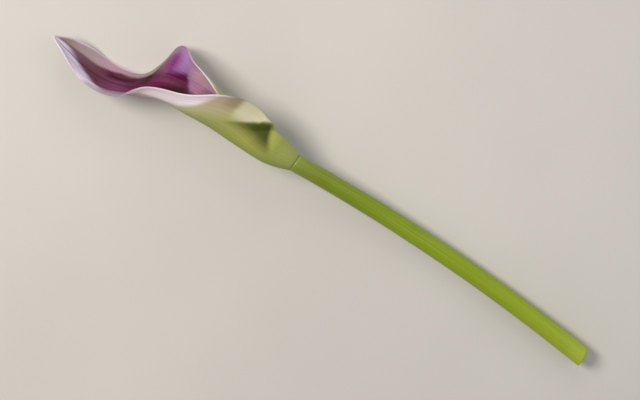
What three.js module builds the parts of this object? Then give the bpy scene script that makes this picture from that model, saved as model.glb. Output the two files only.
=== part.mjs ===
import * as THREE from "three";

// A calla lily flower as picked, lying on a flat surface. It is shaped as it
// grows, upright in millimetres: the axis of the spathe's tube is z, z = 0 is
// where the spathe leaves the stem, its tongue stands at the back (+y) and x
// runs to the right as seen from the front. At the end it is laid down.

// Stem: a solid stalk, a little thicker at its cut end and gently bowed. The
// leans are degrees off the tube's axis, to the photo's right and to its depth.
const STEM_LENGTH = 130;
const STEM_TOP_RADIUS = 3.3;
const STEM_CUT_RADIUS = 3.7;
const STEM_TOP_LEAN = [6, 0];
const STEM_CUT_LEAN = [-4, -9];
const STEM_SHOULDER = [0.5, 1.2]; // rounding of its top edge, across and down
const STEM_DROP = 0.4; // its top stays clear of the sheet's foot
const STEM_SETTLE = 8; // length over which the top face comes square to z
const CUT_SLANT = 0.16; // rise across the cut, mm per mm
const CUT_BEVEL = 0.5;
const VIEW_HEADING = -40; // the photo's right, degrees from +x towards +y

// Spathe: one leaf-like sheet rolled round the spadix. Its left side wraps
// over the right one; the right side flares into a lobe below the tongue.
// Each list gives [share of the midrib's length from the base, value].
const SPATHE_LENGTH = 104;
const TUBE_RADIUS = [
  [0, 2.9],
  [0.02, 3.75],
  [0.05, 4.8],
  [0.08, 5.6],
  [0.11, 6.1],
  [0.17, 6.4],
  [0.295, 6.3],
  [0.415, 7.2],
  [0.5, 7.5],
  [0.575, 8.4],
  [0.67, 9.3],
  [0.765, 9.3],
  [0.86, 7.9],
  [0.925, 5.5],
  [0.97, 2.4],
  [1, 0.7],
];
// Angle that each half sheet would turn through from midrib to margin.
const WRAP_LEFT = [
  [0, 190],
  [0.1, 182],
  [0.15, 181],
  [0.19, 186],
  [0.225, 195],
  [0.275, 208],
  [0.34, 203],
  [0.415, 171],
  [0.5, 135],
  [0.575, 112],
  [0.67, 61],
  [0.765, 54],
  [0.86, 50],
  [0.925, 43],
  [0.97, 50],
  [1, 60],
];
const WRAP_RIGHT = [
  [0, 196],
  [0.08, 206],
  [0.135, 212],
  [0.21, 216],
  [0.285, 208],
  [0.36, 192],
  [0.455, 176],
  [0.49, 170],
  [0.53, 160],
  [0.555, 141],
  [0.585, 98],
  [0.615, 61],
  [0.65, 46],
  [0.715, 46],
  [0.795, 54],
  [0.86, 59],
  [0.925, 60],
  [0.97, 69],
  [1, 60],
];
// Angle by which the outer part of each half is rolled back outwards.
const ROLL_LEFT = [
  [0, 0],
  [0.15, 2],
  [0.19, 9],
  [0.235, 23],
  [0.305, 33],
  [0.37, 45],
  [0.455, 57],
  [0.575, 62],
  [0.67, 68],
  [0.765, 57],
  [1, 0],
];
const ROLL_RIGHT = [
  [0, 0],
  [0.295, 5],
  [0.395, 14],
  [0.455, 37],
  [0.49, 49],
  [0.53, 85],
  [0.575, 90],
  [0.625, 53],
  [0.68, 23],
  [0.765, 20],
  [1, 0],
];
// Where across each half that roll is centred, 0 the midrib, 1 the margin.
const CREST_LEFT = [
  [0, 0.88],
  [0.245, 0.89],
  [0.34, 0.86],
  [0.48, 0.86],
  [0.625, 0.84],
  [1, 0.8],
];
const CREST_RIGHT = [
  [0, 0.7],
  [0.415, 0.66],
  [0.5, 0.58],
  [0.555, 0.54],
  [0.625, 0.62],
  [1, 0.75],
];
const ROLL_SPAN = 0.42;
// The free margins are faintly wavy above the place where the sides cross.
const WAVE_ANGLE = 5;
const WAVE_COUNT = 7;
const WAVE_FROM = 0.4;
const WAVE_TO = 0.53;
// Lean of the midrib to the back, and slope of each half down to the front.
const MIDRIB_LEAN = [
  [0, 24],
  [0.04, 19],
  [0.08, 11],
  [0.12, 3],
  [0.21, 1],
  [0.295, 1],
  [0.415, 9],
  [0.5, 19],
  [0.575, 41],
  [0.67, 38],
  [0.765, 13],
  [0.86, -13],
  [0.935, -17],
  [1, -26],
];
const SLOPE_LEFT = [
  [0, 24],
  [0.04, 19],
  [0.08, 12],
  [0.14, 10],
  [0.2, 18],
  [0.245, 26],
  [0.32, 26],
  [0.415, 26],
  [0.5, 30],
  [0.575, 26],
  [0.67, 15],
  [0.765, -2],
  [0.86, 0],
  [1, 0],
];
const SLOPE_RIGHT = [
  [0, 24],
  [0.04, 19],
  [0.08, 12],
  [0.14, 10],
  [0.295, 14],
  [0.395, 20],
  [0.49, 11],
  [0.555, 25],
  [0.595, 39],
  [0.65, 35],
  [0.715, 27],
  [0.795, 20],
  [0.87, 9],
  [1, 0],
];
// Half the distance between the two layers where the sides overlap, reached as
// the turn of a half sheet goes from the one angle to the other.
const LAYER_OFFSET = [
  [0, 0.5],
  [0.05, 0.65],
  [0.15, 0.9],
  [1, 0.9],
];
const OVERLAP_FROM = 100;
const OVERLAP_TO = 180;
const THICKNESS = [
  [0, 0.7],
  [0.05, 0.9],
  [0.15, 1],
  [0.6, 1],
  [1, 0.9],
];
const MARGIN_THINNING = 0.32; // share of the thickness lost towards a margin
const THINNING_POWER = 3;

// Spadix: the spike of tiny flowers inside the tube.
const SPADIX_LENGTH = 33;
const SPADIX_RADIUS = 2.7;
const SPADIX_FOOT_RADIUS = 1.5;
const SPADIX_SWELL = 0.3; // share of its length in which it reaches full width
const SPADIX_TAPER = 0.18; // share of its width lost from there to the top
const SPADIX_CAP = 0.1; // share of its length that the rounded top takes
const SPADIX_SETBACK = 0.6; // off the tube's axis, to the back
const SPADIX_TILT = 1.5; // degrees to the back
const FLORETS_ROUND = 14;
const FLORET_PITCH = 1.3;
const FLORET_RELIEF = 0.22;
const FLORET_FADE = 3.5; // near both ends the florets flatten out
const SPADIX_RISE = 0.3; // its foot is clear of the stem's top

const SPATHE_LOOK = { color: 0xb89bb0, roughness: 0.42, metalness: 0 };
const SPADIX_LOOK = { color: 0xb9a35a, roughness: 0.7, metalness: 0 };
const STEM_LOOK = { color: 0x7a9138, roughness: 0.45, metalness: 0 };

// Lying down it rests on three low points: the lobe's margin, the tongue's right
// margin and the belly of the stem. Degrees: turned about the tube's axis, tipped
// over, then headed so that its length runs along x.
const REST_TURN = -125.5;
const REST_TIP = 83.3;
const REST_HEADING = -96.5;

const rad = THREE.MathUtils.degToRad;
const smooth = (t) => THREE.MathUtils.smoothstep(t, 0, 1);

// A smooth curve through [position, value] pairs, as a function of position.
function curve(pairs) {
  const last = pairs.length - 1;
  const slope = pairs.map((_, i) => {
    const [x0, y0] = pairs[Math.max(i - 1, 0)];
    const [x1, y1] = pairs[Math.min(i + 1, last)];
    return (y1 - y0) / (x1 - x0);
  });
  return (x) => {
    let i = 0;
    while (i < last - 1 && x >= pairs[i + 1][0]) i += 1;
    const [x0, y0] = pairs[i];
    const [x1, y1] = pairs[i + 1];
    const h = x1 - x0;
    const t = (x - x0) / h;
    const t2 = t * t;
    const t3 = t2 * t;
    return (
      (2 * t3 - 3 * t2 + 1) * y0 +
      (t3 - 2 * t2 + t) * h * slope[i] +
      (3 * t2 - 2 * t3) * y1 +
      (t3 - t2) * h * slope[i + 1]
    );
  };
}

const radiusAt = curve(TUBE_RADIUS);
const leanAt = curve(MIDRIB_LEAN);
const layerAt = curve(LAYER_OFFSET);
const thicknessAt = curve(THICKNESS);
const sides = {
  left: {
    sign: -1,
    wrap: curve(WRAP_LEFT),
    roll: curve(ROLL_LEFT),
    crest: curve(CREST_LEFT),
    slope: curve(SLOPE_LEFT),
    wavePhase: 0.2,
  },
  right: {
    sign: 1,
    wrap: curve(WRAP_RIGHT),
    roll: curve(ROLL_RIGHT),
    crest: curve(CREST_RIGHT),
    slope: curve(SLOPE_RIGHT),
    wavePhase: 0.65,
  },
};

// The midrib, walked up from the base in short steps in the y-z plane.
const MIDRIB_STEPS = 600;
const midrib = [new THREE.Vector3(0, radiusAt(0), 0)];
for (let i = 0; i < MIDRIB_STEPS; i += 1) {
  const lean = rad(leanAt((i + 0.5) / MIDRIB_STEPS));
  const step = new THREE.Vector3(0, Math.sin(lean), Math.cos(lean));
  step.multiplyScalar(SPATHE_LENGTH / MIDRIB_STEPS);
  midrib.push(midrib[i].clone().add(step));
}
function midribAt(v) {
  const k = Math.min(Math.floor(v * MIDRIB_STEPS), MIDRIB_STEPS - 1);
  return midrib[k].clone().lerp(midrib[k + 1], v * MIDRIB_STEPS - k);
}

// Half a row of the sheet, from next to the midrib out to the margin.
const ROW_SUBSTEPS = 8;
function halfRow(v, side, count) {
  const start = midribAt(v);
  const lean = rad(leanAt(v));
  const fall = lean - rad(side.slope(v));
  const forward = new THREE.Vector3(0, -Math.cos(fall), Math.sin(fall));
  const wrap = rad(side.wrap(v));
  const wave = Math.sin(2 * Math.PI * (WAVE_COUNT * v + side.wavePhase));
  const waviness = WAVE_ANGLE * smooth((v - WAVE_FROM) / (WAVE_TO - WAVE_FROM));
  const roll = rad(side.roll(v) + wave * waviness);
  const crest = side.crest(v);
  const from = rad(OVERLAP_FROM);
  const over = smooth((wrap - from) / (rad(OVERLAP_TO) - from));
  const radius = radiusAt(v) - side.sign * layerAt(v) * over;
  const ds = (radius * wrap) / (count * ROW_SUBSTEPS);
  const row = [];
  let x = 0;
  let y = 0;
  for (let k = 0; k < count * ROW_SUBSTEPS; k += 1) {
    const w = (k + 0.5) / (count * ROW_SUBSTEPS);
    const ramp = smooth((w - crest) / ROLL_SPAN + 0.5);
    const heading = wrap * w - roll * ramp;
    x += Math.cos(heading) * ds;
    y += Math.sin(heading) * ds;
    if ((k + 1) % ROW_SUBSTEPS === 0) {
      const point = start.clone().addScaledVector(forward, y);
      point.x += side.sign * x;
      row.push(point);
    }
  }
  return row;
}

// A closed sheet round a grid of points. Both skins split each cell along the
// same diagonal, and walls close the four edges.
function sheet(grid, thickness) {
  const rows = grid.length;
  const cols = grid[0].length;
  const position = [];
  const normalAt = (j, i) => {
    const along = grid[Math.min(j + 1, rows - 1)][i].clone();
    along.sub(grid[Math.max(j - 1, 0)][i]);
    const across = grid[j][Math.min(i + 1, cols - 1)].clone();
    across.sub(grid[j][Math.max(i - 1, 0)]);
    return across.cross(along).normalize();
  };
  for (const skin of [0.5, -0.5]) {
    grid.forEach((row, j) => {
      row.forEach((point, i) => {
        const offset = skin * thickness(j, i);
        position.push(...point.clone().addScaledVector(normalAt(j, i), offset));
      });
    });
  }
  const at = (skin, j, i) => skin * rows * cols + j * cols + i;
  const index = [];
  for (let j = 0; j < rows - 1; j += 1) {
    for (let i = 0; i < cols - 1; i += 1) {
      const [a, b, c, d] = [at(0, j, i), at(0, j, i + 1), at(0, j + 1, i + 1), at(0, j + 1, i)];
      index.push(a, b, c, a, c, d);
      const [e, f, g, h] = [at(1, j, i), at(1, j, i + 1), at(1, j + 1, i + 1), at(1, j + 1, i)];
      index.push(e, g, f, e, h, g);
    }
  }
  const rim = [];
  for (let i = 0; i < cols - 1; i += 1) rim.push([0, i]);
  for (let j = 0; j < rows - 1; j += 1) rim.push([j, cols - 1]);
  for (let i = cols - 1; i > 0; i -= 1) rim.push([rows - 1, i]);
  for (let j = rows - 1; j > 0; j -= 1) rim.push([j, 0]);
  rim.forEach(([j, i], k) => {
    const [nj, ni] = rim[(k + 1) % rim.length];
    const [a, b] = [at(0, j, i), at(0, nj, ni)];
    const [c, d] = [at(1, j, i), at(1, nj, ni)];
    index.push(a, c, b, b, c, d);
  });
  const geometry = new THREE.BufferGeometry();
  geometry.setAttribute("position", new THREE.Float32BufferAttribute(position, 3));
  geometry.setIndex(index);
  geometry.computeVertexNormals();
  return geometry;
}

// Rows stand closer together round the lobe, where the outline changes fast.
const SHEET_ROWS = 42;
const SHEET_HALF = 20;
const ROW_CROWDING = 0.5;
function rowShare(j) {
  const turn = (2 * Math.PI * j) / SHEET_ROWS;
  return j / SHEET_ROWS + (ROW_CROWDING * Math.sin(turn)) / (2 * Math.PI);
}

function makeSpathe() {
  const grid = [];
  for (let j = 0; j <= SHEET_ROWS; j += 1) {
    const v = rowShare(j);
    const left = halfRow(v, sides.left, SHEET_HALF).reverse();
    const right = halfRow(v, sides.right, SHEET_HALF);
    grid.push([...left, midribAt(v), ...right]);
  }
  return sheet(grid, (j, i) => {
    const w = Math.abs(i / SHEET_HALF - 1);
    return thicknessAt(rowShare(j)) * (1 - MARGIN_THINNING * w ** THINNING_POWER);
  });
}

// The stem is turned as a straight stalk and then bent along its own line.
const STEM_ROWS = 30;
const STEM_SEGMENTS = 32;
const SHOULDER_STEPS = 3;
function makeStem() {
  const [inset, drop] = STEM_SHOULDER;
  const profile = [new THREE.Vector2(0, 0)];
  profile.push(new THREE.Vector2(STEM_CUT_RADIUS - CUT_BEVEL, 0));
  const shaft = STEM_LENGTH - CUT_BEVEL - drop;
  for (let i = 0; i <= STEM_ROWS; i += 1) {
    const t = i / STEM_ROWS;
    const radius = THREE.MathUtils.lerp(STEM_CUT_RADIUS, STEM_TOP_RADIUS, t);
    profile.push(new THREE.Vector2(radius, CUT_BEVEL + t * shaft));
  }
  for (let i = 1; i <= SHOULDER_STEPS; i += 1) {
    const turn = (Math.PI / 2) * (i / SHOULDER_STEPS);
    const radius = STEM_TOP_RADIUS - inset * (1 - Math.cos(turn));
    profile.push(new THREE.Vector2(radius, STEM_LENGTH - drop * (1 - Math.sin(turn))));
  }
  profile.push(new THREE.Vector2(0, STEM_LENGTH));
  const geometry = new THREE.LatheGeometry(profile, STEM_SEGMENTS);
  geometry.rotateX(Math.PI / 2);

  const right = new THREE.Vector3(Math.cos(rad(VIEW_HEADING)), Math.sin(rad(VIEW_HEADING)), 0);
  const depth = new THREE.Vector3(-right.y, right.x, 0);
  const along = ([toRight, toDepth]) =>
    new THREE.Vector3(0, 0, -1)
      .addScaledVector(right, Math.tan(rad(toRight)))
      .addScaledVector(depth, Math.tan(rad(toDepth)))
      .normalize();
  const top = new THREE.Vector3(0, 0, -STEM_DROP);
  const middle = top.clone().addScaledVector(along(STEM_TOP_LEAN), STEM_LENGTH / 2);
  const end = middle.clone().addScaledVector(along(STEM_CUT_LEAN), STEM_LENGTH / 2);
  const line = new THREE.QuadraticBezierCurve3(top, middle, end);

  const position = geometry.getAttribute("position");
  for (let i = 0; i < position.count; i += 1) {
    const x = position.getX(i);
    const y = position.getY(i);
    const height = position.getZ(i);
    const slant = CUT_SLANT * x * Math.max(0, 1 - height / STEM_SETTLE);
    const down = STEM_LENGTH - height;
    const t = down / STEM_LENGTH;
    const axis = new THREE.Vector3(0, 0, -1);
    axis.lerp(line.getTangent(t), smooth(down / STEM_SETTLE)).normalize();
    const across = right.clone().addScaledVector(axis, -right.dot(axis)).normalize();
    const point = line.getPoint(t).addScaledVector(axis, -slant).addScaledVector(across, x);
    point.addScaledVector(across.cross(axis), y);
    position.setXYZ(i, point.x, point.y, point.z);
  }
  geometry.computeVertexNormals();
  return geometry;
}

// The spadix is a slim rounded spike with rows of low bumps.
const SPADIX_ROWS = 46;
const SPADIX_SEGMENTS = 28;
function makeSpadix() {
  const profile = [new THREE.Vector2(0, 0)];
  for (let i = 0; i < SPADIX_ROWS; i += 1) {
    const t = i / SPADIX_ROWS;
    const swell = smooth(t / SPADIX_SWELL);
    const body = THREE.MathUtils.lerp(SPADIX_FOOT_RADIUS, SPADIX_RADIUS, swell);
    const taper = 1 - SPADIX_TAPER * smooth((t - SPADIX_SWELL) / (1 - SPADIX_SWELL));
    const cap = Math.sqrt(1 - Math.max(0, 1 + (t - 1) / SPADIX_CAP) ** 2);
    profile.push(new THREE.Vector2(body * taper * cap, t * SPADIX_LENGTH));
  }
  profile.push(new THREE.Vector2(0, SPADIX_LENGTH));
  const geometry = new THREE.LatheGeometry(profile, SPADIX_SEGMENTS);
  geometry.rotateX(Math.PI / 2);
  const position = geometry.getAttribute("position");
  for (let i = 0; i < position.count; i += 1) {
    const x = position.getX(i);
    const y = position.getY(i);
    const z = position.getZ(i);
    const angle = (Math.atan2(y, x) * FLORETS_ROUND) / 2;
    const climb = (Math.PI * z) / FLORET_PITCH / 2;
    const bump = Math.abs(Math.sin(angle + climb) * Math.sin(angle - climb)) - 0.5;
    const fade = smooth(z / FLORET_FADE) * smooth((SPADIX_LENGTH - z) / FLORET_FADE);
    const grow = 1 + (FLORET_RELIEF * bump * fade) / SPADIX_RADIUS;
    position.setXYZ(i, x * grow, y * grow, z);
  }
  geometry.rotateX(rad(-SPADIX_TILT));
  geometry.translate(0, SPADIX_SETBACK, SPADIX_RISE);
  geometry.computeVertexNormals();
  return geometry;
}

function piece(name, geometry, look) {
  const mesh = new THREE.Mesh(geometry, new THREE.MeshStandardMaterial(look));
  mesh.name = name;
  return mesh;
}

const grown = new THREE.Group();
grown.add(piece("spathe", makeSpathe(), SPATHE_LOOK));
grown.add(piece("spadix", makeSpadix(), SPADIX_LOOK));
grown.add(piece("stem", makeStem(), STEM_LOOK));

// Lay it down on z = 0 with the middle of its footprint over the origin.
grown.rotation.z = rad(REST_TURN);
const tipped = new THREE.Group();
tipped.rotation.x = rad(REST_TIP);
tipped.add(grown);
const headed = new THREE.Group();
headed.rotation.z = rad(REST_HEADING);
headed.add(tipped);
const flower = new THREE.Group();
flower.add(headed);
flower.updateMatrixWorld(true);
const box = new THREE.Box3().setFromObject(flower, true);
const centre = box.getCenter(new THREE.Vector3());
headed.position.set(-centre.x, -centre.y, -box.min.z);
flower.updateMatrixWorld(true);

export default flower;
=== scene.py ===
"""A calla lily flower as picked, lying on a pale table.

Sizes are millimetres and degrees on the flower as it grows, upright on its stem: the axis of the
tube is z, z = 0 is where the spathe leaves the stem, and the tongue stands at the back (+y).
The meshes are in metres, laid down where the solids lie.
"""

import logging
import math
from dataclasses import dataclass
from enum import Enum
from typing import Any

import bmesh
import bpy
import numpy as np
from mathutils import Matrix, Vector


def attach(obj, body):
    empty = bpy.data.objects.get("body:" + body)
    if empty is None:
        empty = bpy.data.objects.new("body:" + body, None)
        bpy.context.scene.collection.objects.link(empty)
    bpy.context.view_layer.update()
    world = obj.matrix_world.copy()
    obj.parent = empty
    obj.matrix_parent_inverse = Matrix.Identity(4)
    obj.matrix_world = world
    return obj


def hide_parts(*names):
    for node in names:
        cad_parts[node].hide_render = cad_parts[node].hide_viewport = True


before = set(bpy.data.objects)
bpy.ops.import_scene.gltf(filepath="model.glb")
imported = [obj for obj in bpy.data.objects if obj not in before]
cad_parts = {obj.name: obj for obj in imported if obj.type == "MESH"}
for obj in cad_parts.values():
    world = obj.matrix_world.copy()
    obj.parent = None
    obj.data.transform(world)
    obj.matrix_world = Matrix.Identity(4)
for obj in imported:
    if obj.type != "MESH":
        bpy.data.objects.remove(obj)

log = logging.getLogger("calla")

Pairs = tuple[tuple[float, float], ...]
Point = tuple[float, float, float]

MM = 0.001
SLACK = 1e-3  # millimetres within which two heights or radii are the same place
FLAP_SLANT = 0.35  # the flap's lower edge climbs this share of the length from margin to midrib


class Attribute(Enum):
    """What the meshes carry for their patterns."""

    SHEET = "sheet"
    EDGE = "edge"
    GRAIN = "grain"
    RELIEF = "relief"


class Blend(Enum):
    """How one colour goes over another."""

    PLAIN = "MIX"
    OVERLAY = "OVERLAY"


def smooth(t: Any) -> Any:
    """Eases from 0 to 1 as t does, flat at both ends."""
    t = np.clip(t, 0.0, 1.0)
    return t * t * (3.0 - 2.0 * t)


def rise(value: Any, start: float, full: float) -> Any:
    """Eases from 0 at start to 1 at full, which may be the lower of the two."""
    return smooth((value - start) / (full - start))


def rounded(near: float, least: float) -> float:
    """A quarter round from least at 0 to 1 at 1 and beyond."""
    return least + (1.0 - least) * math.sqrt(1.0 - (1.0 - min(near, 1.0)) ** 2)


def linear(code: str) -> tuple[float, float, float, float]:
    """Turns a colour as seen on a screen into scene light.

    Args:
        code: Six hexadecimal digits, red, green and blue.

    Returns:
        Linear red, green, blue and an alpha of 1.
    """
    seen = [int(code[i : i + 2], 16) / 255 for i in (0, 2, 4)]
    lit = [c / 12.92 if c <= 0.04045 else ((c + 0.055) / 1.055) ** 2.4 for c in seen]
    return (lit[0], lit[1], lit[2], 1.0)


class Curve:
    """A smooth curve through pairs of position and value."""

    def __init__(self, pairs: Pairs) -> None:
        """Finds the slope at each pair.

        Args:
            pairs: Positions in rising order, each with its value.
        """
        self.at = np.array([p[0] for p in pairs], float)
        self.value = np.array([p[1] for p in pairs], float)
        low = np.maximum(np.arange(len(pairs)) - 1, 0)
        high = np.minimum(np.arange(len(pairs)) + 1, len(pairs) - 1)
        self.slope = (self.value[high] - self.value[low]) / (self.at[high] - self.at[low])

    def __call__(self, at: Any) -> np.ndarray:
        """Reads the curve.

        Args:
            at: One position or an array of them.

        Returns:
            The values there.
        """
        at = np.asarray(at, float)
        i = np.clip(np.searchsorted(self.at, at, side="right") - 1, 0, len(self.at) - 2)
        span = self.at[i + 1] - self.at[i]
        t = (at - self.at[i]) / span
        near = (2 * t**3 - 3 * t**2 + 1) * self.value[i]
        near = near + (t**3 - 2 * t**2 + t) * span * self.slope[i]
        far = (3 * t**2 - 2 * t**3) * self.value[i + 1]
        far = far + (t**3 - t**2) * span * self.slope[i + 1]
        return near + far


@dataclass(frozen=True)
class Rest:
    """How the flower, as it grows, is laid down on the table."""

    turn: float = -125.5
    tip: float = 83.3
    heading: float = -96.5
    offset: Point = (-14.6671, -1.168, 10.4094)

    def rotation(self) -> Matrix:
        """The turning alone: about the tube, over, then along the table.

        Returns:
            A rotation.
        """
        turned = Matrix.Rotation(math.radians(self.turn), 4, "Z")
        tipped = Matrix.Rotation(math.radians(self.tip), 4, "X")
        return Matrix.Rotation(math.radians(self.heading), 4, "Z") @ tipped @ turned

    def matrix(self) -> Matrix:
        """From millimetres as it grows to metres as it lies."""
        return Matrix.Scale(MM, 4) @ Matrix.Translation(self.offset) @ self.rotation()


@dataclass(frozen=True)
class Sight:
    """The photograph's direction of view, on the flower as it grows."""

    azimuth: float = -40.0
    elevation: float = 8.0

    def axes(self, rest: Rest, lean: float) -> Matrix:
        """The picture's right, up and back directions over the table.

        Args:
            rest: How the flower lies.
            lean: How far the tube leans to the picture's left, in degrees.

        Returns:
            A rotation whose columns are those directions.
        """
        a, e = math.radians(self.azimuth), math.radians(self.elevation)
        back = Vector((math.sin(a) * math.cos(e), -math.cos(a) * math.cos(e), math.sin(e)))
        turn = rest.rotation().to_3x3()
        back = turn @ back
        tube = turn @ Vector((0.0, 0.0, 1.0))
        along = (tube - back * tube.dot(back)).normalized()
        up = Matrix.Rotation(math.radians(-lean), 3, back) @ along
        right = up.cross(back)
        return Matrix((right, up, back)).transposed()


class Wire:
    """One output of a node, so that sums on it can be written as Python."""

    def __init__(self, shader: "Shader", socket: bpy.types.NodeSocket) -> None:
        """Keeps the socket and the shader that it is in."""
        self.shader = shader
        self.socket = socket

    def _math(self, operation: str, first: Any, second: Any = 0.0) -> "Wire":
        """Adds one Math node on two values."""
        return self.shader.node("ShaderNodeMath", {"operation": operation}, {0: first, 1: second})

    def __add__(self, other: Any) -> "Wire":
        """self + other."""
        return self._math("ADD", self, other)

    def __radd__(self, other: Any) -> "Wire":
        """other + self."""
        return self._math("ADD", other, self)

    def __sub__(self, other: Any) -> "Wire":
        """self - other."""
        return self._math("SUBTRACT", self, other)

    def __rsub__(self, other: Any) -> "Wire":
        """other - self."""
        return self._math("SUBTRACT", other, self)

    def __mul__(self, other: Any) -> "Wire":
        """self * other."""
        return self._math("MULTIPLY", self, other)

    def __rmul__(self, other: Any) -> "Wire":
        """other * self."""
        return self._math("MULTIPLY", other, self)

    def __abs__(self) -> "Wire":
        """Its size without its sign."""
        return self._math("ABSOLUTE", self)

    def sine(self) -> "Wire":
        """The sine of it, in radians."""
        return self._math("SINE", self)

    def ease(self, low: Any, high: Any) -> "Wire":
        """Goes smoothly from 0 at low to 1 at high.

        Args:
            low: Where it starts, a number or a wire.
            high: Where it ends.

        Returns:
            The share from 0 to 1.
        """
        sockets = {"Value": self, "From Min": low, "From Max": high}
        return self.shader.node("ShaderNodeMapRange", {"interpolation_type": "SMOOTHSTEP"}, sockets)

    def band(self, low: float, full: float, fade: float, high: float) -> "Wire":
        """Rises from 0 at low to 1 at full, and falls from 1 at fade to 0 at high."""
        return self.ease(low, full) * (1.0 - self.ease(fade, high))


class Shader:
    """One material, whose nodes are added as they are asked for."""

    def __init__(self, name: str) -> None:
        """Starts an empty material.

        Args:
            name: Its name.
        """
        self.material = bpy.data.materials.new(name)
        self.material.use_nodes = True
        self.tree = self.material.node_tree
        self.tree.nodes.clear()

    def node(self, kind: str, settings: dict, sockets: dict, output: Any = 0) -> Wire | None:
        """Adds one node.

        Args:
            kind: The node's type.
            settings: Its own properties, and under "stops" a ramp's positions and colours.
            sockets: A value or a wire for each input, by name or number.
            output: The output that is wanted, or None for a node that has none.

        Returns:
            That output.
        """
        made = self.tree.nodes.new(kind)
        for key, value in settings.items():
            if key == "stops":
                self._stops(made.color_ramp, value)
            else:
                setattr(made, key, value)
        for key, value in sockets.items():
            if isinstance(value, Wire):
                self.tree.links.new(value.socket, made.inputs[key])
            else:
                made.inputs[key].default_value = value
        return None if output is None else Wire(self, made.outputs[output])

    @staticmethod
    def _stops(ramp: bpy.types.ColorRamp, stops: list) -> None:
        """Gives a ramp its positions and colours.

        Args:
            ramp: The ramp, which starts with two stops.
            stops: Positions with their linear colours.
        """
        while len(ramp.elements) < len(stops):
            ramp.elements.new(1.0)
        for element, (position, colour) in zip(ramp.elements, stops):
            element.position = position
            element.color = colour

    def ramp(self, value: Wire, stops: list[tuple[float, str]]) -> Wire:
        """A colour along a value.

        Args:
            value: What the ramp follows, from 0 to 1.
            stops: Positions with their colours' codes.

        Returns:
            The colour.
        """
        lit = [(position, linear(code)) for position, code in stops]
        settings = {"stops": lit}
        return self.node("ShaderNodeValToRGB", settings, {"Fac": value}, "Color")

    def level(self, value: Wire, stops: list[tuple[float, float]]) -> Wire:
        """A number along a value.

        Args:
            value: What the ramp follows, from 0 to 1.
            stops: Positions with their numbers, from 0 to 1.

        Returns:
            The number.
        """
        grey = [(position, (n, n, n, 1.0)) for position, n in stops]
        return self.node("ShaderNodeValToRGB", {"stops": grey}, {"Fac": value}, "Color")

    def mix(self, share: Any, first: Any, second: Any, blend: Blend = Blend.PLAIN) -> Wire:
        """Mixes two colours.

        Args:
            share: How much of the second, from 0 to 1.
            first: A wire or a colour's code.
            second: A wire or a colour's code.
            blend: The way of mixing.

        Returns:
            The mixed colour.
        """
        first = linear(first) if isinstance(first, str) else first
        second = linear(second) if isinstance(second, str) else second
        settings = {"data_type": "RGBA", "blend_type": blend.value, "clamp_factor": True}
        return self.node("ShaderNodeMix", settings, {0: share, 6: first, 7: second}, 2)

    def vector(self, x: Any, y: Any, z: Any = 0.0) -> Wire:
        """Joins three numbers into a vector."""
        return self.node("ShaderNodeCombineXYZ", {}, {"X": x, "Y": y, "Z": z})

    def noise(self, where: Wire, scale: float, detail: float = 3.0) -> Wire:
        """A cloudy number about 0.5.

        Args:
            where: The coordinates that it follows.
            scale: Lumps in each unit of them.
            detail: How many finer layers it has.

        Returns:
            The number.
        """
        sockets = {"Vector": where, "Scale": scale, "Detail": detail}
        return self.node("ShaderNodeTexNoise", {}, sockets, "Fac")

    def here(self) -> Wire:
        """Object coordinates, in metres as the flower lies."""
        return self.node("ShaderNodeTexCoord", {}, {}, "Object")

    def attribute(self, name: str, output: str = "Fac") -> Wire:
        """One of the mesh's own attributes."""
        return self.node("ShaderNodeAttribute", {"attribute_name": name}, {}, output)

    def parts(self, vector: Wire) -> tuple[Wire, Wire, Wire]:
        """Takes a vector apart.

        Args:
            vector: The vector.

        Returns:
            Its three numbers.
        """
        x = self.node("ShaderNodeSeparateXYZ", {}, {"Vector": vector}, "X")
        split = x.socket.node.outputs
        return x, Wire(self, split["Y"]), Wire(self, split["Z"])

    def bump(self, height: Wire, depth: float, strength: float) -> Wire:
        """A normal that shows fine relief.

        Args:
            height: The relief, from 0 to 1.
            depth: How deep it is, in millimetres.
            strength: How much of it shows.

        Returns:
            The normal.
        """
        sockets = {"Height": height, "Distance": depth * MM, "Strength": strength}
        return self.node("ShaderNodeBump", {}, sockets, "Normal")

    def surface(self, sockets: dict) -> bpy.types.Material:
        """Ends the material.

        Args:
            sockets: The values and wires of its shader.

        Returns:
            The material.
        """
        shader = self.node("ShaderNodeBsdfPrincipled", {}, sockets, "BSDF")
        self.node("ShaderNodeOutputMaterial", {}, {"Surface": shader}, None)
        return self.material


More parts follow.
